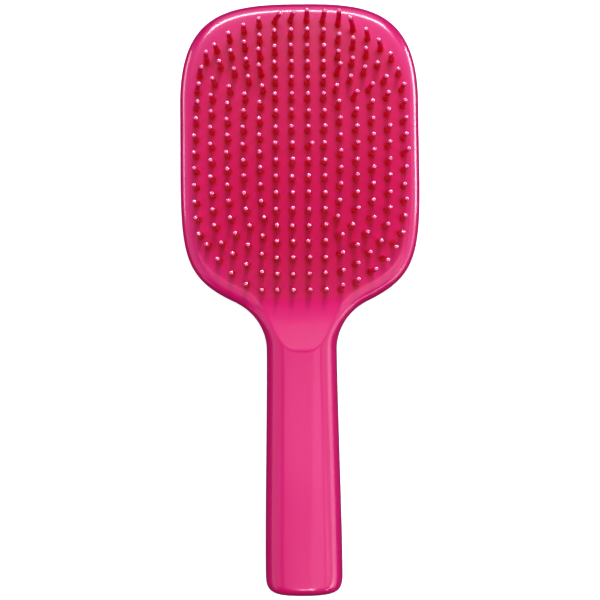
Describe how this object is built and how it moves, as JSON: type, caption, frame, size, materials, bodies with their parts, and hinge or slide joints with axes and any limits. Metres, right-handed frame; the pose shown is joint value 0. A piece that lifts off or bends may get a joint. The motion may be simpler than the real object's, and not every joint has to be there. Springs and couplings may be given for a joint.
{
  "type": "paddle hair brush",
  "caption": "Wide flat paddle hair brush with rounded corners, a short flared neck, a straight rounded handle and rows of slim flexible pins over a sprung cushion.",
  "frame": {"origin": "under the middle of the brush, on the plane its back rests on", "axes": "+X across the brush to the right as seen from the pin side with the head up, +Y along it from the handle's end to the head, +Z out of the pin face"},
  "size_m": [0.0932, 0.23, 0.0295],
  "materials": {
    "shell": "glossy soft-touch moulding",
    "pins": "glossy flexible moulding",
    "inner_plate": "natural moulded",
    "foam": "open-cell foam"
  },
  "bodies": {
    "paddle": {"front_shell": "shell", "back_shell": "shell", "backing_plate": "inner_plate", "foam_cushion": "foam"},
    "pin_bed": {"pin_carrier": "inner_plate", "pin_row_01": "pins", "pin_row_02": "pins", "pin_row_03": "pins", "pin_row_04": "pins", "pin_row_05": "pins", "pin_row_06": "pins", "pin_row_07": "pins", "pin_row_08": "pins", "pin_row_09": "pins", "pin_row_10": "pins", "pin_row_11": "pins", "pin_row_12": "pins", "pin_row_13": "pins", "pin_row_14": "pins"}
  },
  "joints": [
    {"name": "cushion_press", "type": "slide", "parent": "paddle", "child": "pin_bed", "axis": [0, 0, -1], "range_m": [0, 0.002], "stiffness_N_per_m": 3000, "deforming": ["foam_cushion"]}
  ]
}
